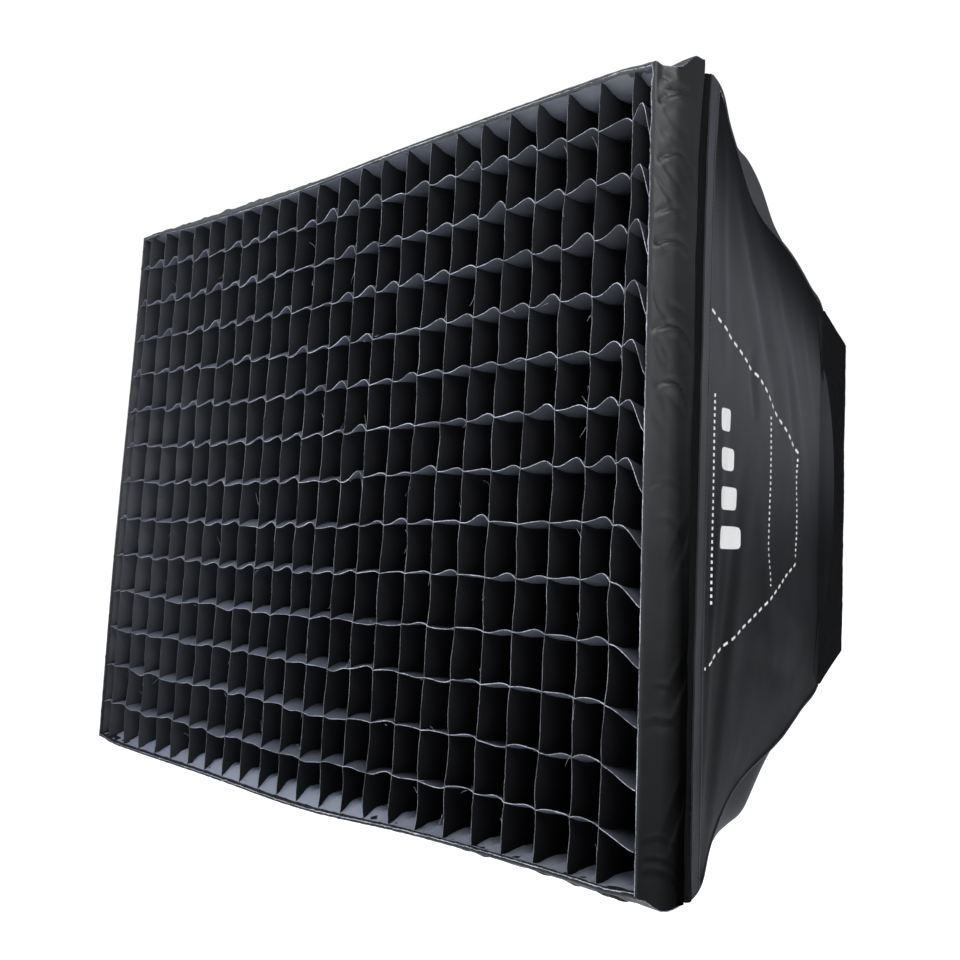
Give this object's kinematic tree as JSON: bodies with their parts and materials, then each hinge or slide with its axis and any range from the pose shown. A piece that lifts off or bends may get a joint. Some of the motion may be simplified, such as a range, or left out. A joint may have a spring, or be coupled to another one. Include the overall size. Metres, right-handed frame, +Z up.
{
  "type": "softbox",
  "caption": "Rectangular fabric softbox for a panel lamp: folding rod frame, four shell panels, inner baffle, front diffuser and a pull-off egg-crate grid.",
  "frame": {"origin": "centre of the mounting frame's rear face, where the lamp head seats", "axes": "+X right as seen from the lit front, +Y back toward the lamp, +Z up; the lit front faces -Y"},
  "size_m": [1.2, 0.49, 0.72],
  "materials": {
    "frame_plate": "brushed, clear anodised",
    "bracket_steel": "black powder coat",
    "bright_steel": "plated",
    "socket_plastic": "glass-filled nylon, fine texture",
    "rod_black": "black-coated spring steel",
    "tip_rubber": "moulded cap",
    "outer_fabric": "coated black polyester outside, silver lining inside",
    "edge_fabric": "black webbing",
    "collar_fabric": "black fleece pile",
    "tape": "hook-and-loop tape",
    "baffle_white": "thin white nylon",
    "diffuser_white": "white ripstop nylon",
    "cord": "braided elastic",
    "hook_plastic": "moulded",
    "grid_fabric": "black satin nylon, raw-cut edges",
    "border_fabric": "padded black satin nylon"
  },
  "bodies": {
    "frame": {"mounting_frame": "frame_plate", "corner_brackets": "bracket_steel", "bracket_rivets": "bright_steel", "hinge_pins": "bright_steel", "collar_top": "collar_fabric", "collar_bottom": "collar_fabric", "collar_left": "collar_fabric", "collar_right": "collar_fabric", "collar_tape": "tape", "panel_left": "outer_fabric", "panel_right": "outer_fabric", "lip_left": "outer_fabric", "lip_right": "outer_fabric", "loop_tape_left": "tape", "loop_tape_right": "tape", "baffle_cloth": "baffle_white", "baffle_cords": "cord", "baffle_hooks": "hook_plastic"},
    "upper_arms": {"upper_receivers": "socket_plastic", "upper_rods": "rod_black", "upper_rod_tips": "tip_rubber", "upper_pockets": "edge_fabric", "upper_piping": "edge_fabric", "panel_top": "outer_fabric", "lip_top": "outer_fabric", "loop_tape_top": "tape"},
    "lower_arms": {"lower_receivers": "socket_plastic", "lower_rods": "rod_black", "lower_rod_tips": "tip_rubber", "lower_pockets": "edge_fabric", "lower_piping": "edge_fabric", "panel_bottom": "outer_fabric", "lip_bottom": "outer_fabric", "loop_tape_bottom": "tape"},
    "diffuser": {"diffuser_band": "tape", "diffuser_cloth": "diffuser_white"},
    "grid": {"grid_border": "border_fabric", "grid_skirt": "border_fabric", "grid_hook_tape": "tape", "grid_rows": "grid_fabric", "grid_columns": "grid_fabric"}
  },
  "joints": [
    {"name": "fold_upper", "type": "hinge", "parent": "frame", "child": "upper_arms", "pos_m": [0, -0.014, 0.186], "axis": [1, 0, 0], "range_deg": [0, 42], "deforming": ["panel_left", "panel_right", "lip_left", "lip_right", "loop_tape_left", "loop_tape_right", "baffle_cloth", "baffle_cords", "baffle_hooks", "diffuser_band", "diffuser_cloth", "grid_border", "grid_skirt", "grid_hook_tape", "grid_rows", "grid_columns"]},
    {"name": "fold_lower", "type": "hinge", "parent": "frame", "child": "lower_arms", "pos_m": [0, -0.014, -0.186], "axis": [1, 0, 0], "range_deg": [-42, 0]},
    {"name": "diffuser_pull", "type": "slide", "parent": "frame", "child": "diffuser", "axis": [0, -1, 0], "range_m": [0, 0.2]},
    {"name": "grid_pull", "type": "slide", "parent": "diffuser", "child": "grid", "axis": [0, -1, 0], "range_m": [0, 0.2]}
  ],
  "couplings": [
    {"joint": "fold_lower", "follows": "fold_upper", "ratio": -1}
  ]
}
